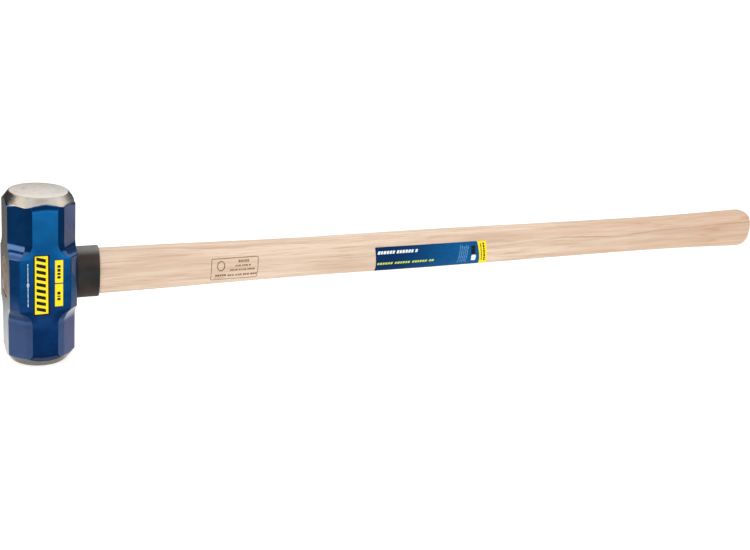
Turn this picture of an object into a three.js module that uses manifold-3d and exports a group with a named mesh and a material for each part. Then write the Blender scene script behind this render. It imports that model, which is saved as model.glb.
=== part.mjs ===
// A long-handled sledgehammer: forged steel head, oval ash handle wedged into the eye,
// rubber neck sleeve and printed labels.
//
// Frame: millimetres. The origin is the centre of the lower striking face. +Z runs up the head
// to the upper striking face, +X runs out of the eye along the handle, and +Y completes the
// right-handed frame. The labels face -Y.

import * as THREE from 'three';
import { mergeVertices } from 'three/addons/utils/BufferGeometryUtils.js';
import Module from 'manifold-3d';

const wasm = await Module();
wasm.setup();

// ---- Driving dimensions (mm) -------------------------------------------------------------

const OVERALL_LENGTH = 900;
const FIT_GAP = 0.3;

// Head: a square bar, octagonal towards each striking face.
const HEAD_LENGTH = 155;
const HALF_BAR = 28.5;
const CHEEK_CHAMFER = 7;
const SIDE_FLAT_HALF = 13.2;
const PAD_HALF = 10.5;
const PAD_CORNER_HALF = 16.2;
const PAD_CORNER_DEPTH = 2.6;
const CHEEK_EDGE_BREAK = 0.3;

// Shoulders: the octagon runs out into the square cheeks on an arc.
const SHOULDER_OUTER = 36.5;
const SHOULDER_INNER = 24;
const SHOULDER_SWEEP = 0.72;
const SHOULDER_STEPS = 8;

// Striking faces: a small flat centre, a shallow crown and a conical edge.
const FACE_RIM_RADIUS = 24.6;
const FACE_FLAT_RADIUS = 9;
const FACE_CROWN = 0.6;
const FACE_CROWN_STEPS = 4;
const FACE_CONE_SLOPE = 1.35;
const FACE_SEGMENTS = 72;

// The pad ends below each striking face in a drafted arc.
const PAD_END_DROP = 10;
const PAD_END_RADIUS = 42;
const PAD_END_DRAFT = 5.1;
const PAD_END_HALF_SPAN = 20;
const PAD_END_DEPTH = 6;
const PAD_END_OUTSIDE = 1.5;
const PAD_END_STEPS = 12;

// Eye: an oval waisted in the middle, wider along Z.
const EYE_HALF_HEIGHT = 17.6;
const EYE_HALF_WIDTH = 12.8;
const EYE_WAIST = 0.8;
const EYE_STEPS = 6;

// Handle: half-heights along X; the section is an oval thinner along Y.
const SECTION_POWER = 2.5;
const SECTION_SIDES = 40;
const TENON_OVERLAP = 2;
const GRIP_ASPECT = 0.8;
const BUTT_STEPS = 8;
const BUTT_POWER = 2.8;
const BUTT_LAST_ANGLE = 1.5;
const GRIP_STEPS = 26;
const GRIP_PROFILE = [
  [29, 20.6],
  [52, 20.5],
  [115, 20.3],
  [240, 19.2],
  [400, 20.1],
  [540, 19.8],
  [676, 19.7],
  [770, 20.6],
  [856.5, 22.75],
];

// Kerf and wedges at the end of the handle.
const KERF_HALF_WIDTH = 1;
const KERF_LENGTH = 50;
const WOOD_WEDGE_LENGTH = 42;
const WOOD_WEDGE_HALF_THICKNESS = 3;
const WOOD_WEDGE_TIP = 0.7;
const STEEL_WEDGE_LENGTH = 24;
const STEEL_WEDGE_HALF_WIDTH = 8.5;
const STEEL_WEDGE_HALF_THICKNESS = 1.6;
const STEEL_WEDGE_TIP = 0.3;
const STEEL_WEDGE_SPACING = 8.5;

// Neck sleeve: its free end is cut a little out of square, shorter at the labelled front.
const SLEEVE_START = 28.8;
const SLEEVE_END = 51.8;
const SLEEVE_WALL = 2;
const SLEEVE_SKEW = 0.14;
const SLEEVE_LIP = 1.2;
const SLEEVE_LIP_STEPS = 3;

// Labels: thin vinyl.
const STICKER_GAP = 0.05;
const STICKER_THICKNESS = 0.2;
const NAME_LABEL = { x: -3.2, z: 78.1, width: 12.8, height: 53.4 };
const WEIGHT_LABEL = { x: 11.35, width: 6.8, height: 20.6, above: 89.5, below: 67.9 };
const HANDLE_LABEL = { start: 327.7, end: 463, low: -17.2, high: 9.8, startLean: 4.3, endLean: 6.6 };

// ---- Derived values ----------------------------------------------------------------------

const EYE_HEIGHT = HEAD_LENGTH / 2;
const BUTT_X = OVERALL_LENGTH - HALF_BAR;
const TENON_END = -HALF_BAR + FIT_GAP;
const OVERCUT = 1;

// ---- Solids ------------------------------------------------------------------------------

// Drops the triangles whose corners have merged into one point.
function withoutSlivers(index) {
  const kept = [];
  for (let first = 0; first < index.length; first += 3) {
    const [a, b, c] = index.slice(first, first + 3);
    if (a !== b && b !== c && c !== a) {
      kept.push(a, b, c);
    }
  }
  return kept;
}

// Turns a closed three.js geometry into a manifold solid.
function toSolid(geometry) {
  const bare = geometry.clone();
  bare.deleteAttribute('normal');
  bare.deleteAttribute('uv');
  const merged = mergeVertices(bare, 1e-4);
  return new wasm.Manifold(new wasm.Mesh({
    numProp: 3,
    vertProperties: new Float32Array(merged.attributes.position.array),
    triVerts: new Uint32Array(withoutSlivers(merged.index.array)),
  }));
}

// Turns a manifold solid back into a three.js geometry.
function toGeometry(solid) {
  const mesh = solid.getMesh();
  const geometry = new THREE.BufferGeometry();
  geometry.setAttribute('position', new THREE.BufferAttribute(mesh.vertProperties, 3));
  geometry.setIndex(new THREE.BufferAttribute(mesh.triVerts, 1));
  geometry.computeVertexNormals();
  return geometry;
}

// Adds the fan that closes one end of a loft.
function addCap(points, index, ring, first, reversed) {
  const centre = new THREE.Vector3();
  ring.forEach((point) => centre.add(point));
  const hub = points.push(centre.divideScalar(ring.length)) - 1;
  ring.forEach((_, side) => {
    const a = first + side;
    const b = first + (side + 1) % ring.length;
    index.push(...(reversed ? [hub, b, a] : [hub, a, b]));
  });
}

// Skins a stack of rings with equal point counts and closes both ends.
function loftGeometry(rings) {
  const count = rings[0].length;
  const points = rings.flat();
  const index = [];
  for (let ring = 0; ring + 1 < rings.length; ring += 1) {
    for (let side = 0; side < count; side += 1) {
      const a = ring * count + side;
      const b = ring * count + (side + 1) % count;
      index.push(a, b, b + count, a, b + count, a + count);
    }
  }
  addCap(points, index, rings[0], 0, true);
  addCap(points, index, rings.at(-1), (rings.length - 1) * count, false);
  const geometry = new THREE.BufferGeometry().setFromPoints(points);
  geometry.setIndex(index);
  return geometry;
}

// An oval section across the handle's axis: a superellipse in the YZ plane.
function ovalRing(x, halfHeight, halfWidth) {
  const ring = [];
  for (let side = 0; side < SECTION_SIDES; side += 1) {
    const angle = side / SECTION_SIDES * 2 * Math.PI;
    const reach = (value) => Math.sign(value) * Math.abs(value) ** (2 / SECTION_POWER);
    const y = halfWidth * reach(Math.cos(angle));
    const z = EYE_HEIGHT + halfHeight * reach(Math.sin(angle));
    ring.push(new THREE.Vector3(x, y, z));
  }
  return ring;
}

// A prism that tapers along X, from the open end of the eye inwards; thin along Y.
function wedgeGeometry({ length, halfThickness, halfTip, halfWidth }, growth = 0) {
  const start = TENON_END - growth * OVERCUT / FIT_GAP;
  const end = TENON_END + length + growth;
  const shape = new THREE.Shape([
    new THREE.Vector2(start, -halfThickness - growth),
    new THREE.Vector2(end, -halfTip - growth),
    new THREE.Vector2(end, halfTip + growth),
    new THREE.Vector2(start, halfThickness + growth),
  ]);
  const depth = 2 * (halfWidth + growth);
  const prism = new THREE.ExtrudeGeometry(shape, { depth, bevelEnabled: false });
  return prism.translate(0, 0, -depth / 2);
}

// ---- Head --------------------------------------------------------------------------------

// One quarter of the bar's outline: pad corner, facet corner and side corner.
const END_CORNERS = [
  [PAD_HALF, HALF_BAR],
  [PAD_CORNER_HALF, HALF_BAR - PAD_CORNER_DEPTH],
  [HALF_BAR, SIDE_FLAT_HALF],
];
const CHEEK_INSET = HALF_BAR - CHEEK_CHAMFER;
const CHEEK_CORNERS = [
  [CHEEK_INSET - CHEEK_EDGE_BREAK, HALF_BAR],
  [CHEEK_INSET + CHEEK_EDGE_BREAK, HALF_BAR - CHEEK_EDGE_BREAK],
  [HALF_BAR, CHEEK_INSET],
];

// How far a section has filled out from the octagon (0) to the square cheek (1).
function shoulderFill(distance) {
  const travel = (SHOULDER_OUTER - distance) / (SHOULDER_OUTER - SHOULDER_INNER);
  const along = THREE.MathUtils.clamp(travel, 0, 1) * SHOULDER_SWEEP;
  return (1 - Math.sqrt(1 - along ** 2)) / (1 - Math.sqrt(1 - SHOULDER_SWEEP ** 2));
}

// The bar's outline at a height above the lower striking face, anticlockwise from above.
function barRing(height) {
  const fill = shoulderFill(Math.abs(height - EYE_HEIGHT));
  const quarter = END_CORNERS.map(([x, y], corner) => [
    THREE.MathUtils.lerp(x, CHEEK_CORNERS[corner][0], fill),
    THREE.MathUtils.lerp(y, CHEEK_CORNERS[corner][1], fill),
  ]);
  const reversed = [...quarter].reverse();
  const outline = [
    ...reversed,
    ...quarter.map(([x, y]) => [-x, y]),
    ...reversed.map(([x, y]) => [-x, -y]),
    ...quarter.map(([x, y]) => [x, -y]),
  ];
  return outline.map(([x, y]) => new THREE.Vector3(x, y, height));
}

// The forged bar, slightly longer than the head, before its ends are turned.
function barGeometry() {
  const distances = [EYE_HEIGHT + OVERCUT];
  for (let step = 0; step <= SHOULDER_STEPS; step += 1) {
    distances.push(THREE.MathUtils.lerp(SHOULDER_OUTER, SHOULDER_INNER, step / SHOULDER_STEPS));
  }
  const below = distances.map((distance) => barRing(EYE_HEIGHT - distance));
  const above = distances.map((distance) => barRing(EYE_HEIGHT + distance));
  return loftGeometry([...below, ...above.reverse()]);
}

// The turned envelope: flat centre, crown, rim and cone at both ends.
function turnedGeometry() {
  const widest = HALF_BAR * 1.5;
  const upper = [new THREE.Vector2(FACE_FLAT_RADIUS, HEAD_LENGTH)];
  for (let step = 1; step <= FACE_CROWN_STEPS; step += 1) {
    const along = step / FACE_CROWN_STEPS;
    const radius = THREE.MathUtils.lerp(FACE_FLAT_RADIUS, FACE_RIM_RADIUS, along);
    upper.push(new THREE.Vector2(radius, HEAD_LENGTH - FACE_CROWN * along ** 2));
  }
  const coneDrop = (widest - FACE_RIM_RADIUS) * FACE_CONE_SLOPE;
  upper.push(new THREE.Vector2(widest, HEAD_LENGTH - FACE_CROWN - coneDrop));
  const lower = upper.map((point) => new THREE.Vector2(point.x, HEAD_LENGTH - point.y));
  const profile = [
    new THREE.Vector2(0, 0),
    ...lower,
    ...upper.reverse(),
    new THREE.Vector2(0, HEAD_LENGTH),
  ];
  return new THREE.LatheGeometry(profile, FACE_SEGMENTS).rotateX(Math.PI / 2);
}

// The block cut away above the front pad: its lower side is an arc drafted towards the face.
function padEndGeometry() {
  const arcHeight = (x) => HEAD_LENGTH - PAD_END_DROP - x ** 2 / (2 * PAD_END_RADIUS);
  const outline = [];
  for (let step = 0; step <= PAD_END_STEPS; step += 1) {
    const x = THREE.MathUtils.lerp(-PAD_END_HALF_SPAN, PAD_END_HALF_SPAN, step / PAD_END_STEPS);
    outline.push(new THREE.Vector2(x, arcHeight(x)));
  }
  outline.push(new THREE.Vector2(PAD_END_HALF_SPAN, HEAD_LENGTH + PAD_END_DROP));
  outline.push(new THREE.Vector2(-PAD_END_HALF_SPAN, HEAD_LENGTH + PAD_END_DROP));
  const shape = new THREE.Shape(outline);
  const block = new THREE.ExtrudeGeometry(shape, { depth: PAD_END_DEPTH, bevelEnabled: false });
  block.rotateX(Math.PI / 2);
  block.translate(0, PAD_END_DEPTH - PAD_END_OUTSIDE - HALF_BAR, 0);
  const draft = new THREE.Matrix4().set(
    1, 0, 0, 0,
    0, 1, 0, 0,
    0, PAD_END_DRAFT, 1, PAD_END_DRAFT * HALF_BAR,
    0, 0, 0, 1,
  );
  return block.applyMatrix4(draft);
}

// The four drafted pad ends: front and back, above and below.
function padEndSolids() {
  const turns = [[0, 0], [0, Math.PI], [Math.PI, 0], [Math.PI, Math.PI]];
  return turns.map(([aboutY, aboutZ]) => {
    const block = padEndGeometry().translate(0, 0, -EYE_HEIGHT);
    block.rotateY(aboutY).rotateZ(aboutZ).translate(0, 0, EYE_HEIGHT);
    return toSolid(block);
  });
}

// The oval through the head, waisted in the middle; inset leaves room around the tenon.
function eyeGeometry(inset, start, end) {
  const rings = [];
  for (let step = 0; step <= EYE_STEPS; step += 1) {
    const x = THREE.MathUtils.lerp(start, end, step / EYE_STEPS);
    const waist = EYE_WAIST * (1 - (x / HALF_BAR) ** 2) + inset;
    rings.push(ovalRing(x, EYE_HALF_HEIGHT - waist, EYE_HALF_WIDTH - waist));
  }
  return loftGeometry(rings);
}

function headGeometry() {
  let head = toSolid(barGeometry()).intersect(toSolid(turnedGeometry()));
  padEndSolids().forEach((block) => {
    head = head.subtract(block);
  });
  const eye = eyeGeometry(0, -HALF_BAR - OVERCUT, HALF_BAR + OVERCUT);
  return toGeometry(head.subtract(toSolid(eye)));
}

// ---- Handle ------------------------------------------------------------------------------

// Half-height of the grip at stations along X, from the shoulder to the butt's widest point.
function gripStations() {
  const points = GRIP_PROFILE.map(([x, halfHeight]) => new THREE.Vector2(x, halfHeight));
  return new THREE.SplineCurve(points).getPoints(GRIP_STEPS);
}

// Half-height of the rounded butt at stations along X.
function buttStations() {
  const [domeStart, widest] = GRIP_PROFILE.at(-1);
  const length = BUTT_X - domeStart;
  const power = 2 / BUTT_POWER;
  const stations = [];
  for (let step = 1; step <= BUTT_STEPS; step += 1) {
    const angle = step / BUTT_STEPS * BUTT_LAST_ANGLE;
    const along = (Math.sin(angle) / Math.sin(BUTT_LAST_ANGLE)) ** power;
    stations.push(new THREE.Vector2(domeStart + along * length, widest * Math.cos(angle) ** power));
  }
  return stations;
}

// The handle beyond the head, grown outwards all round by an offset.
function gripGeometry(offset) {
  const stations = [...gripStations(), ...buttStations()];
  return loftGeometry(stations.map(({ x, y: halfHeight }) => (
    ovalRing(x, halfHeight + offset, halfHeight * GRIP_ASPECT + offset)
  )));
}

const WOOD_WEDGE = {
  length: WOOD_WEDGE_LENGTH,
  halfThickness: WOOD_WEDGE_HALF_THICKNESS,
  halfTip: WOOD_WEDGE_TIP,
  halfWidth: EYE_HALF_HEIGHT,
};
const KERF = {
  length: KERF_LENGTH,
  halfThickness: KERF_HALF_WIDTH,
  halfTip: KERF_HALF_WIDTH,
  halfWidth: EYE_HALF_HEIGHT + OVERCUT,
};
const STEEL_WEDGE = {
  length: STEEL_WEDGE_LENGTH,
  halfThickness: STEEL_WEDGE_HALF_THICKNESS,
  halfTip: STEEL_WEDGE_TIP,
  halfWidth: STEEL_WEDGE_HALF_WIDTH,
};

// The steel wedge at a height above the eye's centre; it is thin along Z.
function steelWedgeGeometry(rise, growth = 0) {
  return wedgeGeometry(STEEL_WEDGE, growth).rotateX(Math.PI / 2).translate(0, 0, EYE_HEIGHT + rise);
}

function woodWedgeGeometry(growth = 0) {
  return wedgeGeometry(WOOD_WEDGE, growth).translate(0, 0, EYE_HEIGHT);
}

// Cuts the slots for both steel wedges.
function cutForSteelWedges(solid) {
  return [STEEL_WEDGE_SPACING, -STEEL_WEDGE_SPACING].reduce(
    (cut, rise) => cut.subtract(toSolid(steelWedgeGeometry(rise, FIT_GAP))),
    solid,
  );
}

function handleGeometry() {
  const tenon = toSolid(eyeGeometry(FIT_GAP, TENON_END, HALF_BAR + TENON_OVERLAP));
  const kerf = toSolid(wedgeGeometry(KERF, FIT_GAP).translate(0, 0, EYE_HEIGHT));
  const blank = tenon.add(toSolid(gripGeometry(0))).subtract(kerf);
  return toGeometry(cutForSteelWedges(blank.subtract(toSolid(woodWedgeGeometry(FIT_GAP)))));
}

function woodenWedgeGeometry() {
  const envelope = toSolid(eyeGeometry(FIT_GAP, TENON_END, HALF_BAR));
  return toGeometry(cutForSteelWedges(envelope.intersect(toSolid(woodWedgeGeometry()))));
}

// ---- Neck sleeve -------------------------------------------------------------------------

// Shears a ring along X in step with its distance from the head, for the skewed free end.
function skewRing(ring) {
  return ring.map(({ x, y, z }) => {
    const share = (x - SLEEVE_START) / (SLEEVE_END - SLEEVE_START);
    return new THREE.Vector3(x + SLEEVE_SKEW * y * share, y, z);
  });
}

// The sleeve's outer skin, with a rounded lip towards the grip.
function sleeveOuterGeometry() {
  const neck = GRIP_PROFILE[0][1];
  const outer = FIT_GAP + SLEEVE_WALL;
  const stations = [[SLEEVE_START, outer]];
  for (let step = 0; step <= SLEEVE_LIP_STEPS; step += 1) {
    const angle = step / SLEEVE_LIP_STEPS * Math.PI / 2;
    const x = SLEEVE_END - SLEEVE_LIP * (1 - Math.sin(angle));
    stations.push([x, outer - SLEEVE_LIP * (1 - Math.cos(angle))]);
  }
  return loftGeometry(stations.map(([x, offset]) => (
    skewRing(ovalRing(x, neck + offset, neck * GRIP_ASPECT + offset))
  )));
}

function sleeveGeometry() {
  const neck = GRIP_PROFILE[0][1];
  const bore = loftGeometry([SLEEVE_START - OVERCUT, SLEEVE_END + OVERCUT].map((x) => (
    skewRing(ovalRing(x, neck + FIT_GAP, neck * GRIP_ASPECT + FIT_GAP))
  )));
  return toGeometry(toSolid(sleeveOuterGeometry()).subtract(toSolid(bore)));
}

// ---- Labels ------------------------------------------------------------------------------

// A flat label on the front pad.
function padLabelGeometry({ x, z, width, height }) {
  const y = -HALF_BAR - STICKER_GAP - STICKER_THICKNESS / 2;
  return new THREE.BoxGeometry(width, STICKER_THICKNESS, height).translate(x, y, z);
}

// The label wrapped round the front of the grip, its ends leaning slightly.
function handleLabelGeometry() {
  const { start, end, low, high, startLean, endLean } = HANDLE_LABEL;
  const shape = new THREE.Shape([
    new THREE.Vector2(start + startLean, EYE_HEIGHT + low),
    new THREE.Vector2(end + endLean, EYE_HEIGHT + low),
    new THREE.Vector2(end, EYE_HEIGHT + high),
    new THREE.Vector2(start, EYE_HEIGHT + high),
  ]);
  const front = new THREE.ExtrudeGeometry(shape, { depth: HALF_BAR, bevelEnabled: false });
  front.rotateX(Math.PI / 2);
  const outer = toSolid(gripGeometry(FIT_GAP + STICKER_THICKNESS));
  const inner = toSolid(gripGeometry(FIT_GAP));
  return toGeometry(outer.subtract(inner).intersect(toSolid(front)));
}

// ---- Assembly ----------------------------------------------------------------------------

const FINISHES = {
  bluePaint: { color: 0x14467f, roughness: 0.25, metalness: 0.3 },
  ash: { color: 0xe6cfae, roughness: 0.6, metalness: 0 },
  beech: { color: 0xcaa273, roughness: 0.7, metalness: 0 },
  steel: { color: 0x8f8c88, roughness: 0.4, metalness: 1 },
  blackRubber: { color: 0x2b2b2b, roughness: 0.75, metalness: 0 },
  yellowVinyl: { color: 0xf2dc1e, roughness: 0.4, metalness: 0 },
  blueVinyl: { color: 0x0d4f96, roughness: 0.4, metalness: 0 },
};

const sledgehammer = new THREE.Group();

function addPart(name, geometry, finish) {
  const mesh = new THREE.Mesh(geometry, new THREE.MeshStandardMaterial(FINISHES[finish]));
  mesh.name = name;
  sledgehammer.add(mesh);
}

addPart('head', headGeometry(), 'bluePaint');
addPart('handle', handleGeometry(), 'ash');
addPart('wooden_wedge', woodenWedgeGeometry(), 'beech');
addPart('steel_wedge_upper', steelWedgeGeometry(STEEL_WEDGE_SPACING), 'steel');
addPart('steel_wedge_lower', steelWedgeGeometry(-STEEL_WEDGE_SPACING), 'steel');
addPart('neck_sleeve', sleeveGeometry(), 'blackRubber');
addPart('name_label', padLabelGeometry(NAME_LABEL), 'yellowVinyl');
addPart('weight_label_upper', padLabelGeometry({ ...WEIGHT_LABEL, z: WEIGHT_LABEL.above }), 'yellowVinyl');
addPart('weight_label_lower', padLabelGeometry({ ...WEIGHT_LABEL, z: WEIGHT_LABEL.below }), 'yellowVinyl');
addPart('handle_label', handleLabelGeometry(), 'blueVinyl');

export default sledgehammer;
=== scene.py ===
"""The looks of a long-handled sledgehammer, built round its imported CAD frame.

Everything is in metres, in the frame of the CAD part: the origin is the centre of the lower
striking face, +Z runs up the head and +X runs out along the handle. The labels face -Y.
"""

import math

import bpy
from mathutils import Matrix, Vector, noise


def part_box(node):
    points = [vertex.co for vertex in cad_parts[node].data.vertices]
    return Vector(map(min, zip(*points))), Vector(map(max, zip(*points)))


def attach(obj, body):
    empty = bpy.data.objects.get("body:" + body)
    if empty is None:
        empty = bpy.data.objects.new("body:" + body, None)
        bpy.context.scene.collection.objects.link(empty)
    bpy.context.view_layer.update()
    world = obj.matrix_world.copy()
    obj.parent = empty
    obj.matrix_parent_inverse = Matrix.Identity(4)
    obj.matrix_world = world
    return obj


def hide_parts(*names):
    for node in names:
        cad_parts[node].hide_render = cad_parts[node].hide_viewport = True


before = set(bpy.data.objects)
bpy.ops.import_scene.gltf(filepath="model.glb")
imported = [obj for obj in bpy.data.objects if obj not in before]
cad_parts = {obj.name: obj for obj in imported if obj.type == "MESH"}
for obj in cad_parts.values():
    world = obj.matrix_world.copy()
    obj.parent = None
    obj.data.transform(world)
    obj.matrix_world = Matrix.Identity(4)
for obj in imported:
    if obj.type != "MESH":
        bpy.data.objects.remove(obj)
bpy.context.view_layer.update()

MM = 0.001

# ---- Places taken from the frame -----------------------------------------------------------

HEAD_LOW, HEAD_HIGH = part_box("head")
HANDLE_LOW, HANDLE_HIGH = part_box("handle")
HEAD_LENGTH = HEAD_HIGH[2] - HEAD_LOW[2]
HALF_BAR = (HEAD_HIGH[0] - HEAD_LOW[0]) / 2
EYE_HEIGHT = (HEAD_HIGH[2] + HEAD_LOW[2]) / 2
TENON_END = HANDLE_LOW[0]
BUTT_X = HANDLE_HIGH[0]

# ---- Shape of the head, as in the CAD part -------------------------------------------------

PAD_HALF = 10.5 * MM
PAD_CORNER_HALF = 16.2 * MM
PAD_CORNER_DEPTH = 2.6 * MM
SIDE_FLAT_HALF = 13.2 * MM
CHEEK_CHAMFER = 7 * MM
CHEEK_EDGE_BREAK = 0.3 * MM
SHOULDER_OUTER = 36.5 * MM
SHOULDER_INNER = 24 * MM
SHOULDER_SWEEP = 0.72
RIM_RADIUS = 24.6 * MM
CROWN = 0.6 * MM
CONE_SLOPE = 1.35
PAD_END_DROP = 10 * MM
PAD_END_RADIUS = 42 * MM
PAD_END_DRAFT = 5.1
EYE_HALF_HEIGHT = 17.6 * MM
EYE_HALF_WIDTH = 12.8 * MM
EYE_WAIST = 0.8 * MM

# ---- Shape of the handle, as in the CAD part -----------------------------------------------

FIT_GAP = 0.3 * MM
SECTION_POWER = 2.5
GRIP_ASPECT = 0.8
BUTT_DOME = 15 * MM
BUTT_POWER = 2.8
GRIP_PROFILE = [
    (29, 20.6),
    (52, 20.5),
    (115, 20.3),
    (240, 19.2),
    (400, 20.1),
    (540, 19.8),
    (676, 19.7),
    (770, 20.6),
    (856.5, 22.75),
]
SLEEVE_START = 28.8 * MM
SLEEVE_END = 51.8 * MM
SLEEVE_WALL = 2 * MM
SLEEVE_SKEW = 0.14


# ---- Small helpers -------------------------------------------------------------------------


def lerp(a, b, t):
    return a + (b - a) * t


def clamp(value, low=0.0, high=1.0):
    return max(low, min(high, value))


def smooth_min(a, b, width):
    """The smaller of two lengths, rounded over where they are within width of each other."""
    overlap = max(width - abs(a - b), 0) / width
    return min(a, b) - overlap * overlap * width / 4


def spread(start, end, steps):
    """Evenly spaced values from start to end, both included."""
    return [lerp(start, end, step / steps) for step in range(steps + 1)]


def shade(mesh, smooth_angle):
    """Smooth shading, kept sharp at edges above an angle in degrees."""
    mesh.shade_smooth()
    mesh.set_sharp_from_angle(angle=math.radians(smooth_angle))


def make_object(name, vertices, faces, material, smooth_angle=35):
    """A mesh object with smooth shading below an edge angle in degrees."""
    mesh = bpy.data.meshes.new(name)
    mesh.from_pydata([tuple(v) for v in vertices], [], faces)
    mesh.validate()
    mesh.update()
    piece = bpy.data.objects.new(name, mesh)
    bpy.context.scene.collection.objects.link(piece)
    if material:
        mesh.materials.append(material)
    shade(mesh, smooth_angle)
    return piece


def loft(rings):
    """Vertices and faces of a closed skin over rings with equal counts, fanned at both ends."""
    count = len(rings[0])
    vertices = [point for ring in rings for point in ring]
    faces = []
    for row in range(len(rings) - 1):
        for side in range(count):
            a = row * count + side
            b = row * count + (side + 1) % count
            faces.append((a, b, b + count, a + count))
    for ring, first, flip in ((rings[0], 0, True), (rings[-1], len(vertices) - count, False)):
        hub = len(vertices)
        vertices.append(sum((Vector(p) for p in ring), Vector()) / count)
        for side in range(count):
            a, b = first + side, first + (side + 1) % count
            faces.append((hub, b, a) if flip else (hub, a, b))
    return vertices, faces


def carve(piece, cutter):
    """Cuts the cutter out of the piece and removes the cutter."""
    modifier = piece.modifiers.new("carve", "BOOLEAN")
    modifier.operation = "DIFFERENCE"
    modifier.solver = "EXACT"
    modifier.object = cutter
    bpy.context.view_layer.update()
    graph = bpy.context.evaluated_depsgraph_get()
    carved = bpy.data.meshes.new_from_object(piece.evaluated_get(graph))
    piece.modifiers.clear()
    piece.data = carved
    bpy.data.objects.remove(cutter)


def place(piece, slot, *nodes):
    """Rides the piece on the hammer and hides the CAD nodes it stands for."""
    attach(piece, "root")
    if nodes:
        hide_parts(*nodes)
    return piece


# ---- Node material helper ------------------------------------------------------------------


class Nodes:
    """Builds a node material by chaining short calls."""

    def __init__(self, owner, output="ShaderNodeOutputMaterial", coordinates="Object"):
        self.owner = owner if not isinstance(owner, str) else bpy.data.materials.new(owner)
        self.owner.use_nodes = True
        self.tree = self.owner.node_tree
        self.tree.nodes.clear()
        self.output = self.tree.nodes.new(output)
        self.place = self.tree.nodes.new("ShaderNodeTexCoord").outputs[coordinates]

    def put(self, socket, value):
        """Links a socket, or sets a plain value on it."""
        if isinstance(value, bpy.types.NodeSocket):
            self.tree.links.new(value, socket)
        elif value is not None:
            if socket.type == "RGBA" and len(value) == 3:
                value = (*value, 1)
            socket.default_value = value

    def math(self, operation, a, b=None, c=None):
        node = self.tree.nodes.new("ShaderNodeMath")
        node.operation = operation
        for socket, value in zip(node.inputs, (a, b, c)):
            self.put(socket, value)
        return node.outputs[0]

    def split(self, vector):
        node = self.tree.nodes.new("ShaderNodeSeparateXYZ")
        self.put(node.inputs[0], vector)
        return node.outputs

    def join(self, x, y, z):
        node = self.tree.nodes.new("ShaderNodeCombineXYZ")
        for socket, value in zip(node.inputs, (x, y, z)):
            self.put(socket, value)
        return node.outputs[0]

    def stretch(self, vector, scale, offset=(0, 0, 0)):
        node = self.tree.nodes.new("ShaderNodeMapping")
        self.put(node.inputs["Vector"], vector)
        node.inputs["Scale"].default_value = scale
        node.inputs["Location"].default_value = offset
        return node.outputs[0]

    def noise(self, vector, scale=1.0, detail=3.0, roughness=0.5):
        node = self.tree.nodes.new("ShaderNodeTexNoise")
        self.put(node.inputs["Vector"], vector)
        node.inputs["Scale"].default_value = scale
        node.inputs["Detail"].default_value = detail
        node.inputs["Roughness"].default_value = roughness
        return node.outputs["Fac"]

    def ramp(self, value, low, high, start=0.0, end=1.0):
        """Maps low..high to start..end with a smooth step."""
        node = self.tree.nodes.new("ShaderNodeMapRange")
        node.interpolation_type = "SMOOTHSTEP"
        for name, given in (("Value", value), ("From Min", low), ("From Max", high),
                            ("To Min", start), ("To Max", end)):
            self.put(node.inputs[name], given)
        return node.outputs["Result"]

    def mix(self, factor, a, b):
        node = self.tree.nodes.new("ShaderNodeMix")
        node.data_type = "RGBA"
        self.put(node.inputs["Factor"], factor)
        self.put(node.inputs[6], a)
        self.put(node.inputs[7], b)
        return node.outputs[2]

    def bump(self, height, distance, strength=1.0, normal=None):
        node = self.tree.nodes.new("ShaderNodeBump")
        node.inputs["Distance"].default_value = distance
        node.inputs["Strength"].default_value = strength
        self.put(node.inputs["Height"], height)
        self.put(node.inputs["Normal"], normal)
        return node.outputs[0]

    def shader(self, color, roughness, metallic=0.0, normal=None, **plain):
        """A Principled shader; plain values are set on its own sockets."""
        node = self.tree.nodes.new("ShaderNodeBsdfPrincipled")
        self.put(node.inputs["Base Color"], color)
        self.put(node.inputs["Roughness"], roughness)
        self.put(node.inputs["Metallic"], metallic)
        self.put(node.inputs["Normal"], normal)
        for name, value in plain.items():
            self.put(node.inputs[name.replace("_", " ")], value)
        return node.outputs[0]

    def finish(self, shader):
        self.tree.links.new(shader, self.output.inputs["Surface"])
        return self.owner


# ---- Materials -----------------------------------------------------------------------------

PAINT_BLUE = (0.003, 0.072, 0.255)
PAINT_DEEP = (0.002, 0.060, 0.225)
STEEL_WARM = (0.56, 0.52, 0.475)
STEEL_COOL = (0.50, 0.50, 0.50)
STEEL_STAIN = (0.33, 0.27, 0.23)
BARE_EDGE_DROP = 7 * MM
BARE_EDGE_SPREAD = 0.75
BARE_EDGE_RADIUS = 28 * MM
BARE_EDGE_SQUARE = 26.6 * MM


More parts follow.
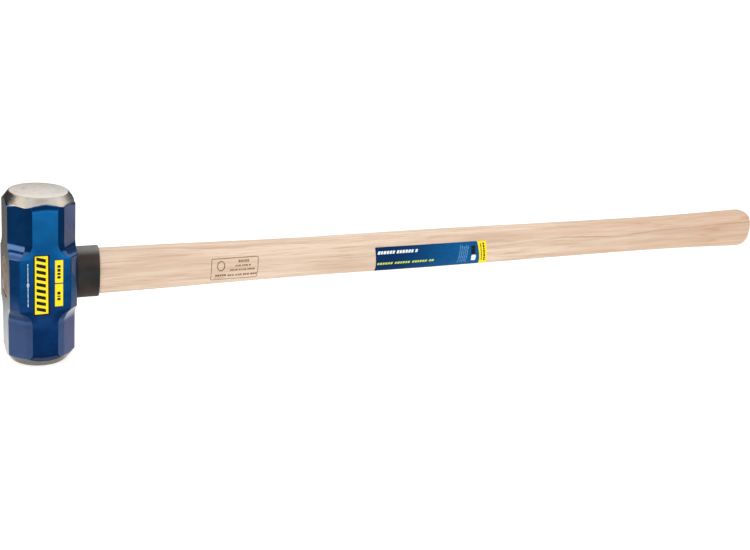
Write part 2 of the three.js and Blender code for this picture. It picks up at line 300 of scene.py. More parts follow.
def bare_mask(n, x, y, z):
    """1 where the head is ground to bare steel, 0 where it is painted."""
    radius = n.math("SQRT", n.math("ADD", n.math("MULTIPLY", x, x), n.math("MULTIPLY", y, y)))
    near_x = n.math("MINIMUM", n.math("ABSOLUTE", x), BARE_EDGE_SQUARE)
    near_y = n.math("MINIMUM", n.math("ABSOLUTE", y), BARE_EDGE_SQUARE)
    reach = n.math("SQRT", n.math("ADD", n.math("MULTIPLY", near_x, near_x),
                                  n.math("MULTIPLY", near_y, near_y)))
    from_eye = n.math("ABSOLUTE", n.math("SUBTRACT", z, EYE_HEIGHT))
    from_end = n.math("SUBTRACT", HEAD_LENGTH / 2, from_eye)
    further = n.math("SUBTRACT", n.math("MAXIMUM", reach, RIM_RADIUS), BARE_EDGE_RADIUS)
    edge = n.math("MULTIPLY_ADD", further, BARE_EDGE_SPREAD, BARE_EDGE_DROP)
    wobble = n.math("MULTIPLY_ADD", n.noise(n.place, 400, 2), 0.35 * MM, -0.17 * MM)
    past = n.math("SUBTRACT", n.math("ADD", edge, wobble), from_end)
    ends = n.ramp(past, -0.12 * MM, 0.12 * MM)
    sideways = n.math("SUBTRACT", n.math("MULTIPLY", x, -1), HALF_BAR - 0.25 * MM)
    side = n.ramp(sideways, 0.0, 0.12 * MM)
    return n.math("MAXIMUM", ends, side), ends, radius, from_end


def head_material():
    """Gloss blue paint over a forging whose ends and eye side are ground bare."""
    n = Nodes("forged_head")
    x, y, z = n.split(n.place)
    bare, ends, radius, from_end = bare_mask(n, x, y, z)

    uneven = n.noise(n.place, 55, 2)
    peel = n.noise(n.place, 700, 2)
    depth = n.noise(n.place, 35, 3)
    blue = n.mix(n.ramp(depth, 0.3, 0.7), PAINT_DEEP, PAINT_BLUE)
    paint_step = n.bump(bare, -0.12 * MM, 0.6)
    paint_wave = n.bump(uneven, 0.5 * MM, 0.5, paint_step)
    paint_skin = n.bump(peel, 0.012 * MM, 0.7, paint_wave)
    paint_rough = n.ramp(n.noise(n.place, 120, 3), 0.3, 0.7, 0.18, 0.23)
    paint = n.shader(blue, paint_rough, 0.82, paint_skin,
                     Coat_Weight=1.0, Coat_Roughness=0.05, Specular_IOR_Level=0.1)

    turned = n.noise(n.join(n.math("MULTIPLY", radius, 2600), 0.0,
                            n.math("MULTIPLY", from_end, 2600)), 1.0, 3)
    ground = n.noise(n.stretch(n.place, (300, 2400, 60)), 1.0, 3)
    marks = n.mix(ends, ground, turned)
    mottle = n.noise(n.stretch(n.place, (90, 90, 60)), 1.0, 4)
    warmth = n.mix(n.ramp(mottle, 0.35, 0.62), STEEL_COOL, STEEL_WARM)
    stains = n.ramp(n.noise(n.place, 140, 4), 0.58, 0.78)
    tone = n.mix(n.math("MULTIPLY", stains, 0.5), warmth, STEEL_STAIN)
    steel_rough = n.ramp(marks, 0.3, 0.7, 0.24, 0.4)
    steel_skin = n.bump(marks, 0.02 * MM, 0.5, n.bump(uneven, 0.15 * MM, 0.4))
    steel = n.shader(tone, steel_rough, 1.0, steel_skin)

    both = n.tree.nodes.new("ShaderNodeMixShader")
    n.put(both.inputs[0], bare)
    n.put(both.inputs[1], paint)
    n.put(both.inputs[2], steel)
    return n.finish(both.outputs[0])


WOOD_CREAM = (0.79, 0.63, 0.495)
WOOD_PALE = (0.70, 0.525, 0.395)
WOOD_FIGURE = (0.52, 0.335, 0.225)
WOOD_STREAK = (0.36, 0.19, 0.12)
WOOD_BUFF = (0.655, 0.475, 0.345)
WOOD_TAN = (0.60, 0.405, 0.27)
WOOD_RED = (0.58, 0.33, 0.21)
WOOD_END = (0.25, 0.18, 0.125)
GROWTH_RING = 6.5 * MM
PITH_DEPTH = 46 * MM

# The long dark streak: where each bend starts and ends along the handle, and how far it climbs.
STREAK_HEIGHTS = (2.5 * MM, 7.2 * MM)
STREAK_FIRST_BEND = (470 * MM, 575 * MM)
STREAK_BENDS = (
    (570 * MM, 655 * MM, -2.6 * MM),
    (652 * MM, 722 * MM, 4.0 * MM),
    (722 * MM, 865 * MM, 3.5 * MM),
)


def wood_material():
    """Pale ash: growth rings cut lengthwise, long streaks, fine pores and a tan, streaked butt."""
    n = Nodes("ash_wood")
    x, y, z = n.split(n.place)
    above = n.math("SUBTRACT", z, EYE_HEIGHT)
    drift = n.noise(n.join(n.math("MULTIPLY", x, 5), 0.0, 0.0), 1.0, 2)
    lean = n.math("MULTIPLY_ADD", drift, 46 * MM, -23 * MM)
    bend = n.noise(n.stretch(n.place, (6, 30, 30)), 1.0, 3)
    across = n.math("SUBTRACT", above, lean)
    inward = n.math("SUBTRACT", y, PITH_DEPTH)
    pith = n.math("SQRT", n.math("ADD", n.math("MULTIPLY", across, across),
                                 n.math("MULTIPLY", inward, inward)))
    rings = n.math("ADD", n.math("DIVIDE", pith, GROWTH_RING), n.math("MULTIPLY", bend, 2.0))
    phase = n.math("FRACT", rings)
    late = n.math("SUBTRACT", n.ramp(phase, 0.3, 0.9), n.ramp(phase, 0.93, 1.0))
    cloud = n.noise(n.stretch(n.place, (7, 60, 60)), 1.0, 3)
    streaks = n.noise(n.stretch(n.place, (7, 210, 210)), 1.0, 5, 0.64)
    fibre = n.noise(n.stretch(n.place, (26, 1000, 1000)), 1.0, 3)
    pores = n.noise(n.stretch(n.place, (60, 2600, 2600)), 1.0, 2)

    tone = n.mix(n.ramp(streaks, 0.36, 0.66), WOOD_CREAM, WOOD_PALE)
    tone = n.mix(n.math("MULTIPLY", late, n.ramp(cloud, 0.3, 0.75, 0.1, 0.7)), tone, WOOD_FIGURE)
    fine = n.noise(n.stretch(n.place, (17, 560, 560), (0.7, 0.1, 0.2)), 1.0, 3, 0.65)
    tone = n.mix(n.ramp(fine, 0.53, 0.66, 0.0, 0.62), tone, WOOD_FIGURE)
    tone = n.mix(n.ramp(fibre, 0.5, 0.8, 0.0, 0.5), tone, WOOD_FIGURE)
    tone = n.mix(n.ramp(pores, 0.62, 0.75, 0.0, 0.5), tone, WOOD_FIGURE)
    patchy = n.math("MULTIPLY_ADD", cloud, 300 * MM, x)
    tanned = n.ramp(patchy, 600 * MM, 950 * MM, 0.0, 0.85)
    tone = n.mix(tanned, tone, n.mix(n.ramp(streaks, 0.4, 0.62), WOOD_BUFF, WOOD_TAN))
    red = n.noise(n.stretch(n.place, (20, 170, 170), (0.4, 0, 0.3)), 1.0, 3)
    tone = n.mix(n.math("MULTIPLY", n.ramp(red, 0.55, 0.74), tanned), tone, WOOD_RED)

    path = n.ramp(x, *STREAK_FIRST_BEND, *STREAK_HEIGHTS)
    for start, end, climb in STREAK_BENDS:
        path = n.math("ADD", path, n.ramp(x, start, end, 0.0, climb))
    sway = n.noise(n.join(n.math("MULTIPLY", x, 45), 3.0, 0.0), 1.0, 3)
    path = n.math("MULTIPLY_ADD", sway, 2 * MM, n.math("SUBTRACT", path, MM))
    near = n.math("ABSOLUTE", n.math("SUBTRACT", above, path))
    line = n.math("MULTIPLY", n.ramp(near, 0.15 * MM, 1.1 * MM, 1.0, 0.0),
                  n.ramp(y, -6 * MM, -2 * MM, 1.0, 0.0))
    line = n.math("MULTIPLY", line, n.ramp(x, 430 * MM, 600 * MM, 0.0, 0.55))
    line = n.math("MULTIPLY", line, n.ramp(fine, 0.35, 0.55, 0.55, 1.0))
    tone = n.mix(line, tone, WOOD_STREAK)
    tone = n.mix(n.ramp(x, TENON_END + 0.2 * MM, TENON_END + 0.8 * MM, 1.0, 0.0), tone, WOOD_END)

    relief = n.bump(pores, 0.05 * MM, 0.5, n.bump(late, 0.05 * MM, 0.3))
    rough = n.ramp(fibre, 0.3, 0.7, 0.42, 0.58)
    return n.finish(n.shader(tone, rough, 0.0, relief, Specular_IOR_Level=0.35))


def wedge_wood_material():
    n = Nodes("wedge_wood")
    fibre = n.noise(n.stretch(n.place, (30, 700, 260)), 1.0, 4)
    color = n.mix(n.ramp(fibre, 0.3, 0.7), (0.28, 0.19, 0.12), (0.17, 0.11, 0.07))
    rough = n.ramp(fibre, 0.3, 0.7, 0.6, 0.8)
    return n.finish(n.shader(color, rough, 0.0, n.bump(fibre, 0.2 * MM)))


def wedge_steel_material():
    n = Nodes("wedge_steel")
    dents = n.noise(n.place, 420, 3)
    rust = n.ramp(n.noise(n.place, 260, 4), 0.5, 0.7)
    color = n.mix(rust, (0.36, 0.35, 0.34), (0.20, 0.11, 0.06))
    metallic = n.ramp(rust, 0.0, 1.0, 1.0, 0.3)
    return n.finish(n.shader(color, n.ramp(dents, 0.3, 0.7, 0.3, 0.55), metallic,
                             n.bump(dents, 0.2 * MM)))


def rubber_material():
    """Black rubber, lighter and browner towards its underside, with a painted sheen as a lighter
    grey band along its top.
    """
    n = Nodes("sleeve_rubber")
    grain = n.noise(n.place, 1500, 2)
    dust = n.noise(n.place, 60, 4)
    below = n.math("SUBTRACT", EYE_HEIGHT, n.split(n.place)[2])
    # Lighter and browner towards the underside, its edge broken by noise.
    under = n.ramp(n.math("MULTIPLY_ADD", dust, 8 * MM, below), 10 * MM, 26 * MM)
    # Painted sheen: a grey band along the top of the sleeve stands in for a highlight.
    painted_top_sheen = n.ramp(below, -22.5 * MM, -19 * MM, 1.0, 0.0)
    color = n.mix(n.ramp(dust, 0.35, 0.75), (0.019, 0.0110, 0.0100), (0.034, 0.022, 0.019))
    color = n.mix(under, color, (0.056, 0.046, 0.041))
    # Mixes in the painted top sheen.
    color = n.mix(painted_top_sheen, color, (0.13, 0.13, 0.13))
    rough = n.ramp(dust, 0.3, 0.7, 0.38, 0.52)
    skin = n.bump(grain, 0.03 * MM, 0.8, n.bump(dust, 0.5 * MM, 0.4))
    return n.finish(n.shader(color, rough, 0.0, skin, Specular_IOR_Level=0.4))


PRINT_WEAR = 0.6
FADED_PRINT_WEAR = 0.25
PRINT_SHEEN = 0.06


def print_material(name, color, worn, faded=None, fade_from=0.0, fade_to=1.0):
    """Printed vinyl or ink, thinner in patches; it may shade to another colour along x."""
    n = Nodes(name)
    patch = n.noise(n.place, 240, 4)
    speck = n.noise(n.place, 1800, 2)
    if faded:
        color = n.mix(n.ramp(n.split(n.place)[0], fade_from, fade_to), color, faded)
    wear = FADED_PRINT_WEAR if faded else PRINT_WEAR
    tone = n.mix(n.ramp(patch, 0.35, 0.75, 0.0, wear), color, worn)
    rough = n.ramp(patch, 0.3, 0.7, 0.32, 0.46)
    skin = n.bump(speck, 0.008 * MM, 0.6)
    return n.finish(n.shader(tone, rough, 0.0, skin, Specular_IOR_Level=PRINT_SHEEN))


# ---- Head ----------------------------------------------------------------------------------

CHEEK_INSET = HALF_BAR - CHEEK_CHAMFER
END_CORNERS = (
    (PAD_HALF, HALF_BAR),
    (PAD_CORNER_HALF, HALF_BAR - PAD_CORNER_DEPTH),
    (HALF_BAR, SIDE_FLAT_HALF),
)
CHEEK_CORNERS = (
    (CHEEK_INSET - CHEEK_EDGE_BREAK, HALF_BAR),
    (CHEEK_INSET + CHEEK_EDGE_BREAK, HALF_BAR - CHEEK_EDGE_BREAK),
    (HALF_BAR, CHEEK_INSET),
)
CORNER_SOFTNESS = (0.45 * MM, 0.5 * MM, 0.4 * MM)
CORNER_STEPS = 4
FLAT_STEPS = 4
SHOULDER_SOFTNESS = 0.12
PAD_END_SOFTNESS = 0.5 * MM
CONE_SOFTNESS = 0.4 * MM
SWELL_HEIGHT = 0.07 * MM
SWELL_SIZE = 14 * MM
HEAD_SMOOTH_ANGLE = 40


def shoulder_fill(distance):
    """0 where the section is the octagon, 1 where it is the square cheek."""
    travel = (SHOULDER_OUTER - distance) / (SHOULDER_OUTER - SHOULDER_INNER)
    along = max(travel, 0) * SHOULDER_SWEEP
    if along >= 1:
        return 1
    fill = (1 - math.sqrt(1 - along ** 2)) / (1 - math.sqrt(1 - SHOULDER_SWEEP ** 2))
    return smooth_min(fill, 1, SHOULDER_SOFTNESS)


def section_corners(distance):
    """The twelve corners of the bar's section, anticlockwise, each with its softness."""
    fill = shoulder_fill(distance)
    quarter = [
        (lerp(end[0], cheek[0], fill), lerp(end[1], cheek[1], fill), softness)
        for end, cheek, softness in zip(END_CORNERS, CHEEK_CORNERS, CORNER_SOFTNESS)
    ]
    back = quarter[::-1]
    return (
        [(x, y, s) for x, y, s in back]
        + [(-x, y, s) for x, y, s in quarter]
        + [(-x, -y, s) for x, y, s in back]
        + [(x, -y, s) for x, y, s in quarter]
    )


def section_outline(distance):
    """The bar's section with its corners rounded, as points anticlockwise from above."""
    corners = section_corners(distance)
    points = []
    for index, (x, y, softness) in enumerate(corners):
        here = Vector((x, y))
        before = Vector(corners[index - 1][:2]) - here
        after = Vector(corners[(index + 1) % len(corners)][:2]) - here
        reach = min(softness, 0.4 * before.length, 0.4 * after.length)
        start = here + before.normalized() * reach
        end = here + after.normalized() * reach
        for t in spread(0, 1, CORNER_STEPS):
            points.append(start.lerp(here, t).lerp(here.lerp(end, t), t))
        next_reach = min(corners[(index + 1) % len(corners)][2], 0.4 * after.length)
        leave = here + after.normalized() * (after.length - next_reach)
        points += [end.lerp(leave, step / FLAT_STEPS) for step in range(1, FLAT_STEPS)]
    return points


def cone_radius(from_end):
    """Radius of the ground cone at a depth below the striking face."""
    return RIM_RADIUS + (from_end - CROWN) / CONE_SLOPE


def pad_end_radius(direction, from_end):
    """Reach, along a direction, of the drafted wall that ends the front and back pads."""
    across, depth = abs(direction.x), abs(direction.y)
    square = across ** 2 / (2 * PAD_END_RADIUS)
    linear = PAD_END_DRAFT * depth
    constant = PAD_END_DROP - from_end - PAD_END_DRAFT * HALF_BAR
    if square < 1e-9:
        return -constant / max(linear, 1e-9)
    return (-linear + math.sqrt(linear ** 2 - 4 * square * constant)) / (2 * square)


def head_ring(from_end, upper):
    """The head's outline at a depth below one striking face."""
    distance = HEAD_LENGTH / 2 - from_end
    height = EYE_HEIGHT + distance if upper else EYE_HEIGHT - distance
    ring = []
    for point in section_outline(distance):
        direction = point.normalized()
        reach = point.length
        if from_end < SHOULDER_OUTER:
            reach = smooth_min(reach, pad_end_radius(direction, from_end), PAD_END_SOFTNESS)
            reach = smooth_min(reach, cone_radius(from_end), CONE_SOFTNESS)
        swell = forging_swell(direction * reach, height)
        x, y = direction * (reach + swell)
        ring.append((x, y, height))
    return ring


def forging_swell(flat, height):
    """Slight unevenness of the forged surface; none on the ground eye side or the ends."""
    point = Vector((flat.x, flat.y, height)) / SWELL_SIZE
    from_end = HEAD_LENGTH / 2 - abs(height - EYE_HEIGHT)
    fade = clamp((from_end - 8 * MM) / (6 * MM)) * clamp((flat.x + HALF_BAR - MM) / (3 * MM))
    return SWELL_HEIGHT * fade * (noise.noise(point) - 0.35)


def face_ring(radius, drop, upper):
    """A circle on the crowned striking face, with points in the section's directions."""
    height = HEAD_HIGH[2] - drop if upper else HEAD_LOW[2] + drop
    outline = section_outline(HEAD_LENGTH / 2)
    return [(*(point.normalized() * radius), height) for point in outline]


def end_rings(upper):
    """Rings from the centre of a striking face out over its rim to just below it."""
    rings = []
    for part in (0.04, 0.15, 0.3, 0.45, 0.6, 0.72, 0.82, 0.9, 0.95):
        rings.append(face_ring(RIM_RADIUS * part, CROWN * part ** 2, upper))
    rim_turn = 0.9 * MM
    rings.append(face_ring(RIM_RADIUS - rim_turn * 0.7, CROWN * 0.98, upper))
    rings.append(face_ring(RIM_RADIUS - rim_turn * 0.28, CROWN * 1.1, upper))
    rings.append(face_ring(RIM_RADIUS + rim_turn * 0.06, CROWN + rim_turn * 0.25, upper))
    return rings


def side_depths():
    """Depths below a striking face of the rings down to the middle of the head."""
    outer = HEAD_LENGTH / 2 - SHOULDER_OUTER
    inner = HEAD_LENGTH / 2 - SHOULDER_INNER
    cone = spread(CROWN + 0.6 * MM, 16 * MM, 36)
    straight = spread(16 * MM, outer, 14)[1:]
    shoulder = spread(outer, inner + 1.5 * MM, 28)[1:]
    cheek = spread(inner + 1.5 * MM, HEAD_LENGTH / 2, 12)[1:]
    return cone + straight + shoulder + cheek


def build_head():
    depths = side_depths()
    lower = end_rings(False) + [head_ring(depth, False) for depth in depths]
    upper = end_rings(True) + [head_ring(depth, True) for depth in depths[:-1]]
    head = make_object("forged_head", *loft(lower + upper[::-1]), head_material())
    carve(head, make_object("eye_cutter", *loft(eye_rings()), None))
    shade(head.data, HEAD_SMOOTH_ANGLE)
    return place(head, "head_paint", "head")


# ---- Ovals shared by the eye, the handle and the sleeve ------------------------------------

EYE_SIDES = 96


def shaving(x, y, z):
    """Slow unevenness left by shaping the wood, never above zero by much."""
    return noise.noise(Vector((x / (90 * MM), y / (25 * MM), z / (25 * MM)))) - 0.5


def oval_ring(x, half_height, half_width, sides, wobble=0.0):
    """A superellipse across the handle's axis, anticlockwise seen from +X."""
    ring = []
    for side in range(sides):
        angle = 2 * math.pi * side / sides
        reach = [math.copysign(abs(v) ** (2 / SECTION_POWER), v)
                 for v in (math.cos(angle), math.sin(angle))]
        y = half_width * reach[0]
        z = half_height * reach[1]
        if wobble:
            grow = 1 + wobble * shaving(x, y, z)
            y, z = y * grow, z * grow
        ring.append((x, y, EYE_HEIGHT + z))
    return ring


def eye_half_sizes(x, inset=0.0):
    waist = EYE_WAIST * (1 - (x / HALF_BAR) ** 2) + inset
    return EYE_HALF_HEIGHT - waist, EYE_HALF_WIDTH - waist


def eye_rings():
    """The eye, a little flared at both mouths."""
    flare = 0.5 * MM
    rings = []
    for x in spread(-HALF_BAR, HALF_BAR, 8):
        half_height, half_width = eye_half_sizes(x)
        mouth = flare if abs(x) > HALF_BAR * 0.99 else 0
        rings.append(oval_ring(x, half_height + mouth, half_width + mouth, EYE_SIDES))
    inner = HALF_BAR - flare
    for x, index in ((-inner, 1), (inner, -1)):
        ring = oval_ring(x, *eye_half_sizes(x), EYE_SIDES)
        rings.insert(index if index > 0 else len(rings) - 1, ring)
    for x, index in ((-HALF_BAR - MM, 0), (HALF_BAR + MM, len(rings) + 1)):
        half_height, half_width = eye_half_sizes(math.copysign(HALF_BAR, x))
        wide = flare * 3
        rings.insert(index, oval_ring(x, half_height + wide, half_width + wide, EYE_SIDES))
    return rings


# ---- Handle --------------------------------------------------------------------------------

HANDLE_SIDES = 64
HANDLE_SMOOTH_ANGLE = 50
GRIP_STEPS = 130
BUTT_STEPS = 14
BUTT_LAST_ANGLE = 1.5
SHAVING = 0.004


def grip_half_height(x):
    """Half-height of the grip at x, on a smooth curve through the profile's points."""
    points = [(a * MM, h * MM) for a, h in GRIP_PROFILE]
    x = clamp(x, points[0][0], points[-1][0])
    index = max(i for i in range(len(points) - 1) if points[i][0] <= x)
    (x0, h0), (x1, h1) = points[index], points[index + 1]
    slopes = []
    for i in (index, index + 1):
        a, b = max(i - 1, 0), min(i + 1, len(points) - 1)
        slopes.append((points[b][1] - points[a][1]) / (points[b][0] - points[a][0]))
    span = x1 - x0
    t = (x - x0) / span
    return (h0 * (1 + 2 * t) * (1 - t) ** 2 + slopes[0] * span * t * (1 - t) ** 2
            + h1 * t * t * (3 - 2 * t) + slopes[1] * span * t * t * (t - 1))


def handle_rings():
    neck = GRIP_PROFILE[0][0] * MM
    rings = []
    for x in spread(TENON_END, neck - 0.2 * MM, 10):
        rings.append(oval_ring(x, *eye_half_sizes(min(x, HALF_BAR), FIT_GAP), HANDLE_SIDES))
    dome = BUTT_X - BUTT_DOME
    for x in spread(neck, dome, GRIP_STEPS):
        half = grip_half_height(x)
        rings.append(oval_ring(x, half, half * GRIP_ASPECT, HANDLE_SIDES, SHAVING))
    widest = grip_half_height(dome)
    for step in range(1, BUTT_STEPS + 1):
        angle = step / BUTT_STEPS * BUTT_LAST_ANGLE
        along = (math.sin(angle) / math.sin(BUTT_LAST_ANGLE)) ** (2 / BUTT_POWER)
        x = dome + BUTT_DOME * along
        half = widest * math.cos(angle) ** (2 / BUTT_POWER)
        rings.append(oval_ring(x, half, half * GRIP_ASPECT, HANDLE_SIDES, SHAVING))
    return rings


def build_handle(wood):
    handle = make_object("handle_shaft", *loft(handle_rings()), wood, HANDLE_SMOOTH_ANGLE)
    for name in ("wooden_wedge", "steel_wedge_upper", "steel_wedge_lower"):
        carve(handle, slot_cutter(name))
    shade(handle.data, HANDLE_SMOOTH_ANGLE)
    return place(handle, "handle_ash", "handle")


SLOT_TAPER = 0.38


def slot_cutter(node):
    """A box slightly larger than a wedge, open at the end of the tenon."""
    low, high = (Vector(corner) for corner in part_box(node))
    grow = Vector((FIT_GAP, FIT_GAP, FIT_GAP))
    low, high = low - grow, high + grow
    low.x -= MM
    tall = EYE_HALF_HEIGHT + MM
    if node == "wooden_wedge":
        low.z, high.z = EYE_HEIGHT - tall, EYE_HEIGHT + tall
    thin = 1 if node == "wooden_wedge" else 2
    rings = []
    for x, inset in ((low.x, 0), (high.x, (high[thin] - low[thin]) * SLOT_TAPER)):
        y0, y1, z0, z1 = low.y, high.y, low.z, high.z
        if thin == 1:
            y0, y1 = y0 + inset, y1 - inset
        else:
            z0, z1 = z0 + inset, z1 - inset
        rings.append([(x, y0, z0), (x, y1, z0), (x, y1, z1), (x, y0, z1)])
    return make_object("slot_cutter", *loft(rings), None)


# ---- Wedges --------------------------------------------------------------------------------


def build_wedges():
    wood, steel = wedge_wood_material(), wedge_steel_material()
    for name, material in (("wooden_wedge", wood), ("steel_wedge_upper", steel),
                           ("steel_wedge_lower", steel)):
        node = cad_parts[name]
        node.data.materials.clear()
        node.data.materials.append(material)


# ---- Neck sleeve ---------------------------------------------------------------------------


def build_sleeve():
    """The rubber collar: a tube with a rounded lip, a faint bead and a rolled inner edge."""
    start, end, wall = SLEEVE_START, SLEEVE_END, SLEEVE_WALL
    neck = GRIP_PROFILE[0][1] * MM
    outer_height = neck + FIT_GAP + wall
    outer_width = neck * GRIP_ASPECT + FIT_GAP + wall
    profile = [(start, 0.35 * MM), (start + 0.35 * MM, 0.0)]
    profile += [(x, 0.12 * MM * math.sin(math.pi * (x - start) / (end - start)))
                for x in spread(start + 2 * MM, end - 2 * MM, 12)]
    lip = 1.1 * MM
    profile += [(end - lip * (1 - math.sin(a)), lip * (1 - math.cos(a)))
                for a in spread(0, math.pi / 2, 7)]
    profile += [(end - 0.15 * MM, wall - 0.1 * MM), (end - 0.6 * MM, wall), (start, wall)]
    sides = 96
    rings = []
    for x, inset in profile:
        skew = SLEEVE_SKEW * (x - start) / (end - start)
        ring = oval_ring(x, outer_height - inset, outer_width - inset, sides)
        rings.append([(px + skew * py, py, pz) for px, py, pz in ring])
    vertices = [point for ring in rings for point in ring]
    count = len(rings)
    faces = []
    for row in range(count):
        other = (row + 1) % count
        for side in range(sides):
            after = (side + 1) % sides
            faces.append((row * sides + side, row * sides + after,
                          other * sides + after, other * sides + side))
    sleeve = make_object("sleeve_collar", vertices, faces, rubber_material(), 60)
    return place(sleeve, "sleeve_rubber", "neck_sleeve")


# ---- Printed labels ------------------------------------------------------------------------
#
# A patch is a grid of (x, z) points in millimetres, z from the eye's height: its rows run up,
# or along a stroke, and each row's points run to the right of that.

PRINT_LIFT = 0.02


def pad_surface(x, z, lift):
    """A point on the flat front pad, lifted off it."""
    return x, -HALF_BAR - lift, EYE_HEIGHT + z


def grip_surface(x, z, lift):
    """A point on the front of the grip, lifted off it."""
    half = grip_half_height(x)
    tall = clamp(abs(z) / half, 0, 0.999)
    y = -half * GRIP_ASPECT * (1 - tall ** SECTION_POWER) ** (1 / SECTION_POWER)
    grow = 1 + SHAVING * shaving(x, y, z)
    outward = Vector((0, y / GRIP_ASPECT ** 2, z)).normalized()
    point = Vector((x, y * grow, z * grow)) + outward * lift
    return point.x, point.y, EYE_HEIGHT + point.z


def panel(left, right, low, high, radius, lean=(0, 0), columns=2):
    """A rectangle with rounded corners whose left and right sides lean as they go down."""
    corner = [(radius * (1 - math.cos(t)), radius * (1 - math.sin(t)))
              for t in spread(0, math.pi / 2, 3)]
    heights = [(low + rise, inset) for rise, inset in corner]
    heights += [(lerp(low + radius, high - radius, part), 0) for part in spread(0, 1, 8)[1:-1]]
    heights += [(high - rise, inset) for rise, inset in reversed(corner)]
    grid = []
    for z, inset in heights:
        down = (high - z) / (high - low)
        near = left + lean[0] * down + inset
        far = right + lean[1] * down - inset
        grid.append([(lerp(near, far, part), z) for part in spread(0, 1, columns)])
    return grid


def slash(left, right, z, thickness, slope):
    """A bar that runs along x and falls by slope."""
    return [[(x, z - slope * part + side * thickness / 2) for side in (1, 0, -1)]
            for x, part in ((lerp(left, right, part), part) for part in spread(0, 1, 3))]


def stroke(path, width):
    """A line of even width along a closed path."""
    grid = []
    for index, here in enumerate(path):
        ahead = Vector(path[(index + 1) % len(path)]) - Vector(path[index - 1])
        right = Vector((ahead.y, -ahead.x)).normalized() * width / 2
        grid.append([tuple(Vector(here) - right), tuple(Vector(here) + right)])
    return grid + [grid[0]]


def sheet(patches, surface, low, high):
    """Vertices and faces of thin closed sheets between two lifts off a surface."""
    vertices, faces = [], []
    for grid in patches:
        base = len(vertices)
        width, count = len(grid[0]), len(grid)
        for lift in (high, low):
            vertices += [surface(x * MM, z * MM, lift * MM) for row in grid for x, z in row]
        under = base + width * count
        cells = [(row * width + column, row * width + column + 1,
                  (row + 1) * width + column + 1, (row + 1) * width + column)
                 for row in range(count - 1) for column in range(width - 1)]
        faces += [tuple(base + i for i in cell) for cell in cells]
        faces += [tuple(under + i for i in reversed(cell)) for cell in cells]
        rim = list(range(width - 1)) + [row * width + width - 1 for row in range(count - 1)]
        rim += [count * width - 1 - i for i in range(width - 1)]
        rim += [(count - 1 - row) * width for row in range(count - 1)]
        for index, here in enumerate(rim):
            after = rim[(index + 1) % len(rim)]
            faces.append((base + after, base + here, under + here, under + after))
    return vertices, faces


def stick(name, patches, surface, lifts, material, slot, *nodes):
    """Makes printed sheets one piece, which stands for any CAD nodes named."""
    label = make_object(name, *sheet(patches, surface, *lifts), material)
    return place(label, slot, *nodes)


def word_marks(left, right, low, high, widths, gap, lean=0.0):
    """Plain blocks that stand in for a line of print; a negative width is a wider space."""
    marks, x, index = [], left, 0
    while x < right:
        width = widths[index % len(widths)]
        index += 1
        if width > 0:
            marks.append(panel(x + lean, x + lean + width, low, high, 0.1, (-lean, -lean)))
            x += width + gap
        else:
            x -= width
    return marks


def column_marks(left, right, low, high, lengths, gap):
    """Plain blocks in a column, for print that reads up the label."""
    marks, z, index = [], low, 0
    while z < high:
        length = lengths[index % len(lengths)]
        index += 1
        marks.append(panel(left, right, z, min(z + length, high), 0.1))
        z += length + gap
    return marks


BASE_LIFTS = (0.05, 0.2)
OVER_LIFTS = (0.19, 0.2 + PRINT_LIFT)
TOP_LIFTS = (0.21, 0.2 + 2 * PRINT_LIFT)
INK_LIFTS = (-0.02, 0.012)


def build_head_labels(yellow, black, white):
    """The yellow block and the two yellow plates on the front pad, with plain marks."""
    border = [panel(-9.7, 3.6, -27.4, 27.5, 0.5, (-0.2, 0.3))]
    stick("name_label_border", border, pad_surface, BASE_LIFTS, black, "label_yellow",
          "name_label")
    block = [panel(-8.7, 2.0, -26.0, 26.8, 0.4, (-0.2, 0.3))]
    stick("name_label_block", block, pad_surface, OVER_LIFTS, yellow, "label_yellow")
    slashes = [slash(-7.5, 0.3, z, 3.1, 2.2) for z in spread(-20.9, 24.6, 8)]
    stick("name_label_slashes", slashes, pad_surface, TOP_LIFTS, black, "label_yellow")

    plates = {
        "weight_label_upper": (1.7, 22.3, 5.6, 18.2, (2.3, 2.0, 2.6, 2.4)),
        "weight_label_lower": (-19.9, 0.7, -14.4, -5.6, (2.2, 1.1, 2.6)),
    }
    for name, (low, high, first, last, lengths) in plates.items():
        stick(name + "_plate", [panel(7.95, 14.75, low, high, 0.3)], pad_surface, BASE_LIFTS,
              yellow, "label_yellow", name)
        marks = column_marks(9.9, 12.6, first, last, lengths, 1.0)
        stick(name + "_marks", marks, pad_surface, OVER_LIFTS, black, "label_yellow")

    line = column_marks(-14.7, -14.2, -18.6, 20.5, (2.8, 1.1, 1.9, 0.8, 3.4, 1.3), 0.5)
    stick("pad_line", line, pad_surface, INK_LIFTS, white, "head_paint")
    emblem = [stroke([(-14.4 + 0.8 * math.cos(t), 1.2 + 1.5 * math.sin(t))
                      for t in spread(0, 2 * math.pi, 24)[:-1]], 0.35)]
    stick("pad_emblem", emblem, pad_surface, (0.015, 0.03), white, "head_paint")


